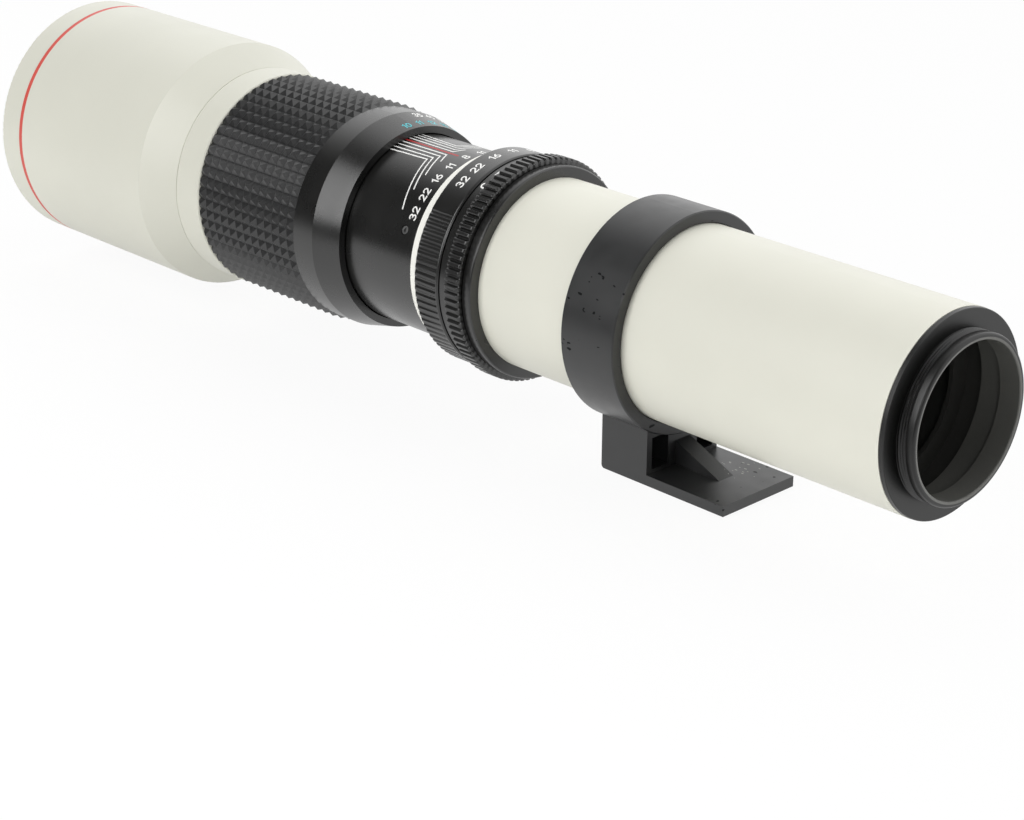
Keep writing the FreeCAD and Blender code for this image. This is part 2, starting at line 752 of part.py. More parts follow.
def lens_cell():
    """The sliding sleeve with the objective: a flared tube with two straight key slots."""
    body = turned("lens_cell_sleeve", [
        ("sleeve_rear", "sleeve_inner"),
        ("sleeve_rear", "sleeve_outer"),
        ("sleeve_step", "sleeve_outer"),
        ("sleeve_step", "neck_bore - turn_gap"),
        ("neck_front + cone_shift", "neck_bore - turn_gap"),
        ("cone_front + cone_shift", "hood_bore - turn_gap"),
        ("cell_front", "hood_bore - turn_gap"),
        ("cell_front", "cell_bore"),
        ("objective_seat", "cell_bore"),
        ("objective_seat", "objective_radius - seat_lip"),
        ("objective_seat - sleeve_web", "objective_radius - seat_lip"),
        ("objective_seat - sleeve_web", "sleeve_belly"),
        ("cone_front + cone_shift + sleeve_web", "sleeve_belly"),
        ("neck_front + cone_shift", "sleeve_waist"),
        ("sleeve_step + sleeve_web", "sleeve_waist"),
        ("sleeve_step + sleeve_web", "sleeve_inner"),
    ])
    sketch = new_sketch(body, "key_slot", "XY_Plane")
    rear = "key_station - sleeve_clear"
    front = "key_station + key_span + focus_travel + sleeve_clear"
    half = "( key_width / 2 + turn_gap )"
    draw_outline(sketch, [
        (rear, half),
        (front, half),
        (front, f"minus {half}"),
        (rear, f"minus {half}"),
    ])
    pocket(body, sketch, "2 * scale_bore", middle=True)
    crown = lens_element("objective_crown", "objective_radius", "crown_rear", "crown_edge",
                         ("crown_front_curve", "bulged"), ("inner_curve", "bulged"))
    flint = lens_element("objective_flint", "objective_radius", "flint_rear", "flint_edge",
                         ("inner_curve", "hollow"), ("flint_rear_curve", "bulged"))
    pieces.extend([crown, flint])
    turned("objective_retainer", [
        ("retainer_rear + crown_rise", "retainer_bore"),
        ("retainer_rear", "objective_radius"),
        ("retainer_rear + retainer_thick", "objective_radius"),
        ("retainer_rear + retainer_thick", "retainer_bore + retainer_lip / 2"),
    ])


def front_barrel():
    """The white hood, cone and neck, with a spigot that fits into the focus sleeve."""
    body = turned("front_barrel", [
        ("spigot_rear", "focus_bore"),
        ("spigot_rear", "spigot_radius"),
        ("grip_front", "spigot_radius"),
        ("grip_front", "neck_radius - fine_bevel"),
        ("grip_front + fine_bevel", "neck_radius"),
        ("neck_front", "neck_radius"),
        ("neck_front", "neck_radius - seam_depth"),
        ("neck_front + neck_seam", "neck_radius - seam_depth"),
        ("neck_front + neck_seam", "neck_radius"),
        ("cone_front", "hood_radius"),
        ("line_front - line_width", "hood_radius"),
        ("line_front - line_width", "hood_radius - line_depth"),
        ("line_front", "hood_radius - line_depth"),
        ("line_front", "hood_radius"),
        ("hood_front", "hood_radius"),
        ("hood_front", "hood_bore"),
        ("cone_front + cone_shift", "hood_bore"),
        ("neck_front + cone_shift", "neck_bore"),
        ("neck_shoulder", "neck_bore"),
        ("neck_shoulder", "focus_bore"),
    ])
    round_circles(body, "hood_front", "hood_radius", "rim_round")
    turned("hood_liner", [
        ("liner_rear", "liner_radius"),
        ("liner_rear", "hood_bore - seat_gap"),
        ("hood_front - liner_setback", "hood_bore - seat_gap"),
        ("hood_front - liner_setback", "filter_radius"),
        ("hood_front - liner_setback - filter_depth", "filter_radius"),
        ("hood_front - liner_setback - filter_depth", "liner_radius"),
    ])


def focus_sleeve():
    """The black band with its bevel, and the thinner seat of the rubber grip in front of it."""
    turned("focus_sleeve", [
        ("bevel_rear", "focus_bore"),
        ("bevel_rear", "bevel_radius"),
        ("band_rear", "band_radius"),
        ("grip_rear", "band_radius"),
        ("grip_rear", "grip_seat"),
        ("grip_front", "grip_seat"),
        ("grip_front", "spigot_radius + seat_gap"),
        ("spigot_rear - face_gap", "spigot_radius + seat_gap"),
        ("spigot_rear - face_gap", "focus_bore"),
    ])


def ring_sector(inner, outer, thick, start, sweep):
    """A flat piece of a ring about X, from one angle over a sweep, its front face at X = 0."""
    wedge = Part.makeCylinder(outer, thick, Vector(0, 0, 0), AXIS, sweep)
    wedge.rotate(Vector(0, 0, 0), AXIS, start)
    return wedge.cut(Part.makeCylinder(inner, 3 * thick, Vector(-thick, 0, 0), AXIS))


def point_on_ring(radius, turn, station=0.0):
    angle = math.radians(turn)
    return Vector(-station, -radius * math.sin(angle), radius * math.cos(angle))


def drive_point(turn):
    """Radius and angle of a blade's drive pin when the blade has turned, its pivot at the top."""
    swing = math.radians(turn - 90 - size("blade_turn_angle") / 2)
    out = size("pivot_radius") + size("drive_arm") * math.cos(swing)
    along = size("drive_arm") * math.sin(swing)
    return math.hypot(out, along), math.degrees(math.atan2(along, out))


def strip(start, end, half, thick):
    """A flat bar between two points, with a half width, its front face at X = 0."""
    side = AXIS.cross(end - start).normalize() * half
    corners = [start + side, end + side, end - side, start - side, start + side]
    return Part.Face(Part.makePolygon(corners)).extrude(Vector(thick, 0, 0))


def blade_shape():
    """One blade with its pivot at the top: a crescent with an ear, a pivot pin and a drive pin."""
    thick = size("blade_thick")
    inner = size("open_radius")
    outer = size("blade_outer")
    middle = (inner + outer) / 2
    ear = size("iris_pin") + size("ear_wall")
    pivot = point_on_ring(size("pivot_radius"), 0)
    drive = point_on_ring(*drive_point(0))
    root, sweep = size("blade_root_angle"), size("blade_sweep_angle")
    sheet_parts = [
        Part.makeCylinder((outer - inner) / 2, thick, point_on_ring(middle, sweep), AXIS),
        Part.makeCylinder(ear, thick, pivot, AXIS),
        Part.makeCylinder(ear, thick, drive, AXIS),
        strip(pivot, drive, ear, thick),
        strip(point_on_ring(middle, 0), pivot, ear, thick),
    ]
    crescent = ring_sector(inner, outer, thick, -root, sweep + root)
    return crescent.fuse(sheet_parts).removeSplitter(), pivot, drive


def focus_grip():
    """The rubber sleeve: rows of four-sided pyramids round a plain bore, the front row cut short."""
    rear = size("grip_rear") + size("seat_gap")
    front = size("grip_front") - size("seat_gap")
    pitch = size("grip_pitch")
    valley = size("grip_radius") - size("grip_row_depth")
    rows = math.ceil(size("grip_rows"))
    columns = round(size("grip_columns"))
    step = 360 / columns
    faces = []
    for row in range(rows):
        for column in range(columns):
            tip = point_on_ring(size("grip_radius"), column * step, rear + (row + 0.5) * pitch)
            base = [
                point_on_ring(valley, (column + across) * step, rear + (row + along) * pitch)
                for along, across in ((0, -0.5), (0, 0.5), (1, 0.5), (1, -0.5))
            ]
            for k in range(4):
                faces.append(Part.Face(Part.makePolygon([base[k], base[(k + 1) % 4], tip, base[k]])))
    for station in (rear, rear + rows * pitch):
        rim = [point_on_ring(valley, (column + 0.5) * step, station) for column in range(columns)]
        faces.append(Part.Face(Part.makePolygon(rim + rim[:1])))
    skin = Part.Shell(faces)
    skin.sewShape()
    blank = Part.makeCylinder(2 * size("grip_radius"), front, Vector(-front, 0, 0), AXIS)
    bore = Part.makeCylinder(size("grip_seat") + size("seat_gap"), front, Vector(-front, 0, 0), AXIS)
    grip = doc.addObject("Part::Feature", "focus_grip")
    grip.Shape = Part.Solid(skin).common(blank.cut(bore))
    pieces.append(grip)


def iris_blades():
    """The blades lie one behind the other, each on its own level, so that they can cross."""
    flat, pivot, drive = blade_shape()
    pin = size("iris_pin")
    hole_end = size("plate_rear") + size("plate_thick") - size("face_gap") / 2
    slot_end = size("cam_front") - size("slot_depth") + size("face_gap") / 2
    for number in range(int(size("blade_count"))):
        front = size("plate_rear") - size("blade_pitch") * (number + 1) + size("blade_thick")
        middle = front - size("blade_thick") / 2
        shape = flat.copy()
        shape.translate(Vector(-front, 0, 0))
        pivot_pin = Part.makeCylinder(pin, hole_end - middle, pivot - AXIS * hole_end, AXIS)
        drive_pin = Part.makeCylinder(pin, middle - slot_end, drive - AXIS * middle, AXIS)
        shape = shape.fuse([pivot_pin, drive_pin]).removeSplitter()
        blade = doc.addObject("Part::Feature", f"iris_blade_{number + 1:02d}")
        blade.Shape = shape
        blade.Placement = Placement(Vector(0, 0, 0), Rotation(AXIS, 360 * number / size("blade_count")))
        pieces.append(blade)


def cam_slot():
    """The slot that turns one blade in step with the cam, its blade's pivot at the top."""
    half = size("iris_pin") + size("iris_pin_play")
    steps = 6
    path = []
    for k in range(steps + 1):
        share = k / steps
        radius, angle = drive_point(share * size("blade_turn_angle"))
        path.append(point_on_ring(radius, angle - share * size("aperture_turn_angle")))
    ways = [(path[min(k + 1, steps)] - path[max(k - 1, 0)]).normalize() for k in range(steps + 1)]
    sides = [AXIS.cross(way) * half for way in ways]
    left = Part.BSplineCurve()
    left.interpolate([point + side for point, side in zip(path, sides)])
    right = Part.BSplineCurve()
    right.interpolate([point - side for point, side in zip(path, sides)][::-1])
    far = Part.Arc(path[-1] + sides[-1], path[-1] + ways[-1] * half, path[-1] - sides[-1])
    near = Part.Arc(path[0] - sides[0], path[0] - ways[0] * half, path[0] + sides[0])
    wire = Part.Wire([left.toShape(), far.toShape(), right.toShape(), near.toShape()])
    return Part.Face(wire).extrude(Vector(2 * size("slot_depth"), 0, 0))


def iris_drive():
    """The cam ring, the fixed plate that the blades pivot on, the clip and the link screw."""
    cam_shape = Part.makeCylinder(size("iris_bore") - size("turn_gap"), size("cam_thick"),
                                  Vector(-size("cam_front"), 0, 0), AXIS)
    opening = Part.makeCylinder(size("open_radius") + size("turn_gap"), 3 * size("cam_thick"),
                                Vector(-size("cam_front") - size("cam_thick"), 0, 0), AXIS)
    link_start = point_on_ring(size("blade_outer"), size("link_angle"), size("link_station"))
    link_hole = Part.makeCylinder(size("link_radius") + size("seat_gap"), size("seat_radius"),
                                  link_start, point_on_ring(1, size("link_angle")))
    slot = cam_slot()
    slot.translate(Vector(-size("cam_front") - size("slot_depth"), 0, 0))
    slots = []
    for number in range(int(size("blade_count"))):
        turned_slot = slot.copy()
        turned_slot.rotate(Vector(0, 0, 0), AXIS, 360 * number / size("blade_count"))
        slots.append(turned_slot)
    cam = doc.addObject("Part::Feature", "iris_cam_ring")
    cam.Shape = cam_shape.cut([opening, link_hole] + slots)
    pieces.append(cam)
    plate = turned("iris_base_plate", [
        ("plate_rear", "open_radius"),
        ("plate_rear", "iris_bore - seat_gap"),
        ("iris_front", "iris_bore - seat_gap"),
        ("iris_front", "open_radius"),
    ])
    sketch = new_sketch(plate, "pivot", "YZ_Plane")
    draw_circle(sketch, "0", "pivot_radius", "iris_pin + iris_pin_play")
    hole = pocket(plate, sketch, "4 * iris_front", middle=True)
    repeat(plate, hole, "blade_count")
    turned("iris_clip", [
        ("clip_front - clip_thick", "iris_bore - clip_width"),
        ("clip_front - clip_thick", "iris_bore - seat_gap"),
        ("clip_front", "iris_bore - seat_gap"),
        ("clip_front", "iris_bore - clip_width"),
    ])
    screw = doc.addObject("Part::Cylinder", "aperture_link_screw")
    screw.Placement = Placement(Vector(0, 0, 0), Rotation(AXIS, 1))
    inner = "( blade_outer + seat_gap )"
    tie(screw, "Radius", "link_radius")
    tie(screw, "Height", f"aperture_radius - rib_depth - ring_edge - {inner}")
    tie(screw, "Placement.Rotation.Angle", "link_angle")
    tie(screw, "Placement.Base.x", "-1 * link_station")
    tie(screw, "Placement.Base.y", f"-1 * {inner} * sin( link_angle * 1 deg )")
    tie(screw, "Placement.Base.z", f"{inner} * cos( link_angle * 1 deg )")
    pieces.append(screw)


def tripod_collar():
    """A cast ring with a block, a foot plate and a gusset below, and a lock boss on the far side."""
    body = turned("tripod_collar", [
        ("collar_rear", "collar_lip"),
        ("collar_rear", "collar_radius - collar_edge"),
        ("collar_rear + collar_edge", "collar_radius"),
        ("collar_front - collar_edge", "collar_radius"),
        ("collar_front", "collar_radius - collar_edge"),
        ("collar_front", "collar_lip"),
    ])
    foot = new_sketch(body, "foot", "XZ_Plane")
    root = "sqrt( collar_bore ^ 2 - foot_half ^ 2 )"
    draw_outline(foot, [
        ("collar_front", "minus foot_drop"),
        ("foot_rear", "minus foot_drop"),
        ("foot_rear", "minus foot_top"),
        ("block_rear", "minus foot_top"),
        ("block_rear", f"minus {root}"),
        ("collar_front", f"minus {root}"),
    ])
    pad(body, foot, "2 * foot_half", middle=True)
    hollow = new_sketch(body, "pockets", "YZ_Plane", lift="-1 * block_rear")
    for side in ("", "minus "):
        inner = f"{side}( foot_half - pocket_rim - pocket_width )"
        outer = f"{side}( foot_half - pocket_rim )"
        draw_outline(hollow, [
            (inner, "minus pocket_top"),
            (outer, "minus pocket_top"),
            (outer, "minus ( foot_top - pocket_floor )"),
            (inner, "minus ( foot_top - pocket_floor )"),
        ])
    pocket(body, hollow, "pocket_depth")
    gusset = new_sketch(body, "gusset", "XZ_Plane")
    draw_outline(gusset, [
        ("block_rear + face_gap", "minus gusset_top"),
        ("block_rear", "minus gusset_top"),
        ("block_rear - gusset_span", "minus foot_top"),
        ("block_rear + face_gap", "minus foot_top"),
    ])
    pad(body, gusset, "gusset_width", middle=True)
    boss = new_sketch(body, "boss", "XZ_Plane", lift="-1 * ( collar_bore + liner_cloth )")
    draw_circle(boss, "collar_middle", "0", "boss_radius")
    pad(body, boss, "boss_reach - collar_bore - liner_cloth", reverse=True)
    bore = new_sketch(body, "bore", "YZ_Plane")
    draw_circle(bore, "0", "0", "collar_lip")
    pocket(body, bore, "4 * collar_front", middle=True)
    recess = new_sketch(body, "lining_seat", "XZ_Plane")
    draw_outline(recess, [
        ("collar_rear + liner_inset - seat_gap", "collar_lip - turn_gap"),
        ("collar_rear + liner_inset - seat_gap", "collar_bore"),
        ("collar_front - liner_inset + seat_gap", "collar_bore"),
        ("collar_front - liner_inset + seat_gap", "collar_lip - turn_gap"),
    ])
    track = body.newObject("PartDesign::Groove", "collar_lining_track")
    track.Profile = recess
    track.ReferenceAxis = (recess, ["H_Axis"])
    track.Angle = 360
    tap = new_sketch(body, "lock_hole", "XZ_Plane", lift="-1 * ( collar_bore - liner_cloth )")
    draw_circle(tap, "collar_middle", "0", "lock_radius + lock_play")
    pocket(body, tap, "boss_reach")
    socket = new_sketch(body, "bush_hole", "XY_Plane", lift="-1 * foot_drop")
    draw_circle(socket, "collar_middle", "0", "bush_radius + seat_gap")
    pocket(body, socket, "bush_span", reverse=True)
    round_front_of_foot(body)
    bush = turned("tripod_bush", [
        ("0", "socket_radius"),
        ("0", "bush_radius"),
        ("bush_span - face_gap", "bush_radius"),
        ("bush_span - face_gap", "socket_radius"),
    ])
    bush.Placement = Placement(Vector(0, 0, 0), Rotation(Vector(0, 1, 0), 90))
    tie(bush, "Placement.Base.x", "-1 * collar_middle")
    tie(bush, "Placement.Base.z", "-1 * foot_drop")


def round_front_of_foot(body):
    """Rounds the lower front edge of the foot."""
    doc.recompute()
    low = -size("foot_drop")
    front = -size("collar_front")

    def on_corner(edge):
        middle = edge.CenterOfMass
        return abs(middle.z - low) < 1e-3 and abs(middle.x - front) < 1e-3

    base = body.Tip
    feature = body.newObject("PartDesign::Fillet", "foot_corner")
    feature.Base = (base, edges_where(base.Shape, on_corner))
    tie(feature, "Radius", "foot_round")


def collar_lock():
    """The cloth lining of the collar, and the screw that presses a pad on the tube to lock it."""
    lining = turned("collar_lining", [
        ("collar_rear + liner_inset", "pad_base"),
        ("collar_rear + liner_inset", "collar_bore - seat_gap"),
        ("collar_front - liner_inset", "collar_bore - seat_gap"),
        ("collar_front - liner_inset", "pad_base"),
    ])
    radial_hole(lining, "pad_hole", "collar_middle", "pad_radius + seat_gap", "lock_angle", "collar_bore")
    pad_piece = doc.addObject("Part::Cylinder", "lock_pad")
    pad_piece.Placement = Placement(Vector(0, 0, 0), Rotation(AXIS, -90))
    tie(pad_piece, "Radius", "pad_radius")
    tie(pad_piece, "Height", "pad_thick")
    tie(pad_piece, "Placement.Base.x", "-1 * collar_middle")
    tie(pad_piece, "Placement.Base.y", "pad_base")
    pieces.append(pad_piece)
    shank = "( boss_reach + turn_gap - pad_base - pad_thick - face_gap / 2 )"
    screw = turned("lock_screw", [
        ("0", "0"),
        ("0", "lock_radius - ring_edge"),
        ("ring_edge", "lock_radius"),
        (shank, "lock_radius"),
        (shank, "lock_neck_radius"),
        (f"{shank} + lock_neck_span", "lock_neck_radius"),
        (f"{shank} + lock_neck_span", "lock_knob_radius"),
        (f"{shank} + lock_neck_span + lock_knob_span", "lock_knob_radius"),
        (f"{shank} + lock_neck_span + lock_knob_span", "0"),
    ])
    ring_of_notches(screw, "flutes", f"{shank} + lock_neck_span - ring_edge",
                    f"{shank} + lock_neck_span + lock_knob_span + ring_edge", "lock_knob_radius",
                    "lock_notch / 2", "lock_notch", "lock_notch_count")
    screw.Placement = Placement(Vector(0, 0, 0), Rotation(Vector(0, 0, 1), -90))
    tie(screw, "Placement.Base.x", "-1 * collar_middle")
    tie(screw, "Placement.Base.y", "pad_base + pad_thick + face_gap / 2")


rear_mount()
fixed_tube()
rear_glass()
shoulder()
iris_housing()
aperture_ring()
preset_ring()
preset_click()
scale_barrel()
focus_keys()
lens_cell()
front_barrel()
focus_sleeve()
focus_grip()
iris_drive()
iris_blades()
tripod_collar()
collar_lock()
doc.recompute()

for thing in doc.Objects:
    if "Invalid" in thing.State or "Error" in thing.State:
        raise RuntimeError(f"{thing.Label} failed: {thing.State}")
for piece in pieces:
    if piece.Shape.isNull() or not piece.Shape.isValid() or not piece.Shape.Solids:
        raise RuntimeError(f"{piece.Label} has no sound solid")
    piece.Shape.exportStep(f"parts/{piece.Label}.step")
print(f"{len(pieces)} pieces written")
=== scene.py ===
import json
import math

import bpy
from mathutils import Matrix, Vector

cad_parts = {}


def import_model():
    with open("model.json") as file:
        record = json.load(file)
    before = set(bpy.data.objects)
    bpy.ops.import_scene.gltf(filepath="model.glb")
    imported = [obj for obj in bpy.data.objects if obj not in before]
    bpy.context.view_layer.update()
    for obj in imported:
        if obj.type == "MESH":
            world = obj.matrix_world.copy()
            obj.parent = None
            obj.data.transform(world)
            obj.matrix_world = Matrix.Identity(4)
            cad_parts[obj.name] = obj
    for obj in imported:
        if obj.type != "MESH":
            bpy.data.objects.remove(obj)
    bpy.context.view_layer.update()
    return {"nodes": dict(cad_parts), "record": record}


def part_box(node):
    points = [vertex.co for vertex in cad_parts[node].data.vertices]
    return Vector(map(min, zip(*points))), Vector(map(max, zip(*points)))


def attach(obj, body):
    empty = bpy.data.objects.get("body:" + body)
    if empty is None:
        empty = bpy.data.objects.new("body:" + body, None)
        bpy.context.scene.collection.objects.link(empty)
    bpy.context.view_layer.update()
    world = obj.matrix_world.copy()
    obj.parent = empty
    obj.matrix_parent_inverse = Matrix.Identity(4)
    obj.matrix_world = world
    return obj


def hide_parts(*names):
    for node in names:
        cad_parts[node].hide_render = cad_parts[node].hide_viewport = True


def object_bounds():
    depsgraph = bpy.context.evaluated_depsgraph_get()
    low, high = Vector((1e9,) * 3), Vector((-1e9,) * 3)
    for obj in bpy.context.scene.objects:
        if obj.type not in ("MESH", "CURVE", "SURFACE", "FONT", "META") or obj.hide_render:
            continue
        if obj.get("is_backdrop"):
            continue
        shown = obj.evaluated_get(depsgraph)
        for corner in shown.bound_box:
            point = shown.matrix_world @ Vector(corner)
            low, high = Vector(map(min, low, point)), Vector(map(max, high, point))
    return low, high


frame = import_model()

# Metres, in the frame of the CAD model: +X towards the camera end, +Z up.
# Angles about the axis are in degrees from the top (+Z) towards -Y, the side that the photograph shows.
MM = 0.001

# Sizes of the CAD model that the boxes of its nodes don't give.
TURN_GAP = 0.3 * MM
RIBS_SPAN = 5.2 * MM
HUB_STEP = 1.5 * MM
SPIGOT_WALL = 2.2 * MM
RIB_COUNT = 92


def ring(name):
    """Front x, rear x and outer radius of a turned CAD node."""
    low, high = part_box(name)
    return low.x, high.x, high.z


def on_ring(x, radius, angle):
    """The point at a place along the axis, a radius and an angle about the axis."""
    turn = math.radians(angle)
    return Vector((x, -radius * math.sin(turn), radius * math.cos(turn)))


# Materials


def shader_of(material):
    return material.node_tree.nodes["Principled BSDF"]


def new_material(name, colour, roughness, metallic=0.0, **sockets):
    """A Principled material. Other sockets are set by name, with _ for a space."""
    material = bpy.data.materials.new(name)
    material.use_nodes = True
    shader = shader_of(material)
    shader.inputs["Base Color"].default_value = (*colour, 1.0)
    shader.inputs["Roughness"].default_value = roughness
    shader.inputs["Metallic"].default_value = metallic
    for socket, value in sockets.items():
        shader.inputs[socket.replace("_", " ")].default_value = value
    return material


def node(owner, kind, **values):
    """A new node of a material or world. Each value sets a property or, with _ for a space, a socket."""
    made = owner.node_tree.nodes.new(kind)
    for key, value in values.items():
        if hasattr(made, key):
            setattr(made, key, value)
        else:
            made.inputs[key.replace("_", " ")].default_value = value
    return made


def wire(owner, source, output, target, socket):
    owner.node_tree.links.new(source.outputs[output], target.inputs[socket])


def place(material, stretch=(1.0, 1.0, 1.0)):
    """Object coordinates, scaled on each axis."""
    coordinates = node(material, "ShaderNodeTexCoord")
    mapping = node(material, "ShaderNodeMapping", Scale=stretch)
    wire(material, coordinates, "Object", mapping, "Vector")
    return mapping


def noise(material, scale, detail=3.0, stretch=(1.0, 1.0, 1.0)):
    texture = node(material, "ShaderNodeTexNoise", Scale=scale, Detail=detail)
    wire(material, place(material, stretch), "Vector", texture, "Vector")
    return texture


def vary_roughness(material, texture, low, high):
    spread = node(material, "ShaderNodeMapRange", To_Min=low, To_Max=high)
    wire(material, texture, "Fac", spread, "Value")
    wire(material, spread, "Result", shader_of(material), "Roughness")


def vary_colour(material, texture, output, stops):
    """Blends the base colour between two stops of (position, colour). Returns the ramp."""
    ramp = node(material, "ShaderNodeValToRGB")
    for key, (position, colour) in zip(ramp.color_ramp.elements, stops):
        key.position = position
        key.color = (*colour, 1.0)
    wire(material, texture, output, ramp, "Fac")
    wire(material, ramp, "Color", shader_of(material), "Base Color")
    return ramp


def add_bump(material, texture, strength, distance):
    """Fine relief on the whole surface."""
    bump = node(material, "ShaderNodeBump", Strength=strength, Distance=distance)
    wire(material, texture, "Fac", bump, "Height")
    wire(material, bump, "Normal", shader_of(material), "Normal")


def paint(name, colour):
    """Smooth gloss paint with a faint orange peel and a faint drift in tone."""
    roughness = 0.42
    material = new_material(name, colour, roughness, Specular_IOR_Level=0.4)
    darker = tuple(channel * 0.965 for channel in colour)
    vary_colour(material, noise(material, 22.0), "Fac", [(0.35, darker), (0.65, colour)])
    vary_roughness(material, noise(material, 160.0), roughness - 0.05, roughness + 0.06)
    add_bump(material, noise(material, 1400.0, 1.0), 0.06, 0.05 * MM)
    return material


def turned_black(name, level, roughness, shine):
    """Black anodised metal with the fine rings that the lathe leaves."""
    material = new_material(name, (level, level, level * 0.9), roughness, Specular_IOR_Level=shine)
    vary_roughness(material, noise(material, 90.0), roughness - 0.05, roughness + 0.07)
    rings = noise(material, 1.0, 2.0, stretch=(9000.0, 12.0, 12.0))
    add_bump(material, rings, 0.1, 0.012 * MM)
    return material


def specked_black(name):
    """Satin enamel on a casting, with small dark pits in loose clusters and a patch of pale flecks on the
    foot.
    """
    ground, pit, shine = (0.0115, 0.012, 0.0125), (0.002, 0.003, 0.003), 0.7
    material = new_material(name, ground, 0.36, Specular_IOR_Level=shine)
    # A coarse noise lowers the fine one between the clusters, so that only some of its peaks are pits.
    between = node(material, "ShaderNodeMapRange", From_Min=0.48, From_Max=0.64, To_Min=0.16, To_Max=0.0)
    wire(material, noise(material, 48.0, 1.0), "Fac", between, "Value")
    peaks = node(material, "ShaderNodeMath", operation="SUBTRACT")
    wire(material, noise(material, 540.0, 1.0, (0.7, 0.6, 1.5)), "Fac", peaks, 0)
    wire(material, between, "Result", peaks, 1)
    rim, floor_of_pit = 0.665, 0.695
    coat = vary_colour(material, peaks, "Value", [(rim, ground), (floor_of_pit, pit)])
    dull = node(material, "ShaderNodeMapRange", From_Min=rim, From_Max=floor_of_pit,
                To_Min=shine, To_Max=0.1)
    wire(material, peaks, "Value", dull, "Value")
    wire(material, dull, "Result", shader_of(material), "Specular IOR Level")
    add_pale_flecks(material, coat)
    vary_roughness(material, noise(material, 240.0), 0.3, 0.44)
    add_bump(material, noise(material, 2600.0, 4.0), 0.14, 0.03 * MM)
    return material


def add_pale_flecks(material, coat):
    """Small pale flecks on top of the foot plate, dense in the middle of a patch and none at its rim."""
    low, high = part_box("tripod_collar")
    away = node(material, "ShaderNodeVectorMath", operation="DISTANCE")
    away.inputs[1].default_value = (high.x - 12.5 * MM, 7.5 * MM, low.z + 2.8 * MM)
    wire(material, place(material), "Vector", away, 0)
    reach = node(material, "ShaderNodeMapRange", From_Max=9.0 * MM, To_Min=0.34, To_Max=0.0)
    wire(material, away, "Value", reach, "Value")
    cells = node(material, "ShaderNodeTexVoronoi", Scale=1000.0)
    wire(material, place(material, (0.5, 1.0, 1.0)), "Vector", cells, "Vector")
    flecks = node(material, "ShaderNodeMath", operation="LESS_THAN")
    wire(material, cells, "Distance", flecks, 0)
    wire(material, reach, "Result", flecks, 1)
    mix = node(material, "ShaderNodeMixRGB", Color2=(0.2, 0.2, 0.18, 1.0))
    wire(material, flecks, "Value", mix, "Fac")
    wire(material, coat, "Color", mix, "Color1")
    wire(material, mix, "Color", shader_of(material), "Base Color")


def rubber(name):
    material = new_material(name, (0.011, 0.0112, 0.0115), 0.34, Specular_IOR_Level=0.9)
    vary_roughness(material, noise(material, 700.0), 0.28, 0.42)
    add_bump(material, noise(material, 4200.0, 4.0), 0.22, 0.03 * MM)
    return material


def metal(name, colour, roughness):
    material = new_material(name, colour, roughness, metallic=1.0)
    vary_roughness(material, noise(material, 300.0), roughness - 0.06, roughness + 0.08)
    add_bump(material, noise(material, 1.0, 2.0, stretch=(7000.0, 20.0, 20.0)), 0.12, 0.01 * MM)
    return material


def paint_inside_lightened(material, level):
    """Dull grey paint on the surfaces that look at the axis: dark paint, lightened as painted light for
    the light that reaches the bore.
    """
    shader = shader_of(material)
    outward = node(material, "ShaderNodeVectorMath", operation="DOT_PRODUCT")
    wire(material, node(material, "ShaderNodeTexCoord"), "Normal", outward, 0)
    wire(material, place(material, (0.0, 1.0, 1.0)), "Vector", outward, 1)
    outer = node(material, "ShaderNodeMath", operation="GREATER_THAN")
    outer.inputs[1].default_value = -1.0 * MM
    wire(material, outward, "Value", outer, 0)
    mix = node(material, "ShaderNodeMixRGB", Color1=(level, level, level * 0.92, 1.0),
               Color2=shader.inputs["Base Color"].default_value)
    wire(material, outer, "Value", mix, "Fac")
    coat = shader.inputs["Base Color"].links
    if coat:
        material.node_tree.links.new(coat[0].from_socket, mix.inputs["Color2"])
    wire(material, mix, "Color", shader, "Base Color")


def felt(name):
    material = new_material(name, (0.018, 0.018, 0.018), 0.9, Sheen_Weight=0.4)
    add_bump(material, noise(material, 5000.0, 5.0), 0.6, 0.08 * MM)
    return material


def coated_glass(name):
    material = new_material(name, (0.97, 0.95, 1.0), 0.02, Transmission_Weight=1.0, IOR=1.52,
                            Specular_Tint=(0.62, 0.45, 0.95, 1.0))
    add_bump(material, noise(material, 30.0, 1.0), 0.01, 0.01 * MM)
    return material


def ink(name, colour):
    material = new_material(name, colour, 0.45)
    vary_roughness(material, noise(material, 900.0), 0.38, 0.55)
    return material


# One white paint in two copies: the front pieces' copy is darker as painted shade, where the light falls
# off towards the hood; the tube's copy is lighter as painted light.
FRONT_WHITE_SHADED = paint("ivory_paint_shaded_front", (0.7, 0.698, 0.612))
TUBE_WHITE_LIT = paint("tube_paint_lit", (0.775, 0.77, 0.678))
CREAM = paint("cream_ring_paint", (0.94, 0.935, 0.875))
BLACK = turned_black("black_anodised", 0.0045, 0.27, 0.85)
MOUNT = turned_black("mount_black", 0.004, 0.36, 0.5)
# The inside black is lightened to dark grey, as painted light for the light that reaches inside the lens.
INSIDE_LIGHTENED = turned_black("matt_black_inside_lightened", 0.034, 0.6, 0.5)
ENAMEL = specked_black("collar_enamel")
RUBBER = rubber("grip_rubber")
STEEL = metal("turned_steel", (0.56, 0.56, 0.57), 0.3)
SCREW = metal("screw_steel", (0.3, 0.3, 0.3), 0.34)
BLADE = metal("blackened_blades", (0.07, 0.07, 0.075), 0.36)
BRASS = metal("turned_brass", (0.62, 0.47, 0.22), 0.32)
FELT = felt("collar_felt")
GLASS = coated_glass("coated_glass")
WHITE_INK = ink("white_ink", (0.93, 0.93, 0.91))
CYAN_INK = ink("cyan_ink", (0.07, 0.52, 0.58))
RED_INK = ink("red_ink", (0.45, 0.02, 0.02))
RED_LINE = ink("red_line_paint", (0.66, 0.09, 0.07))

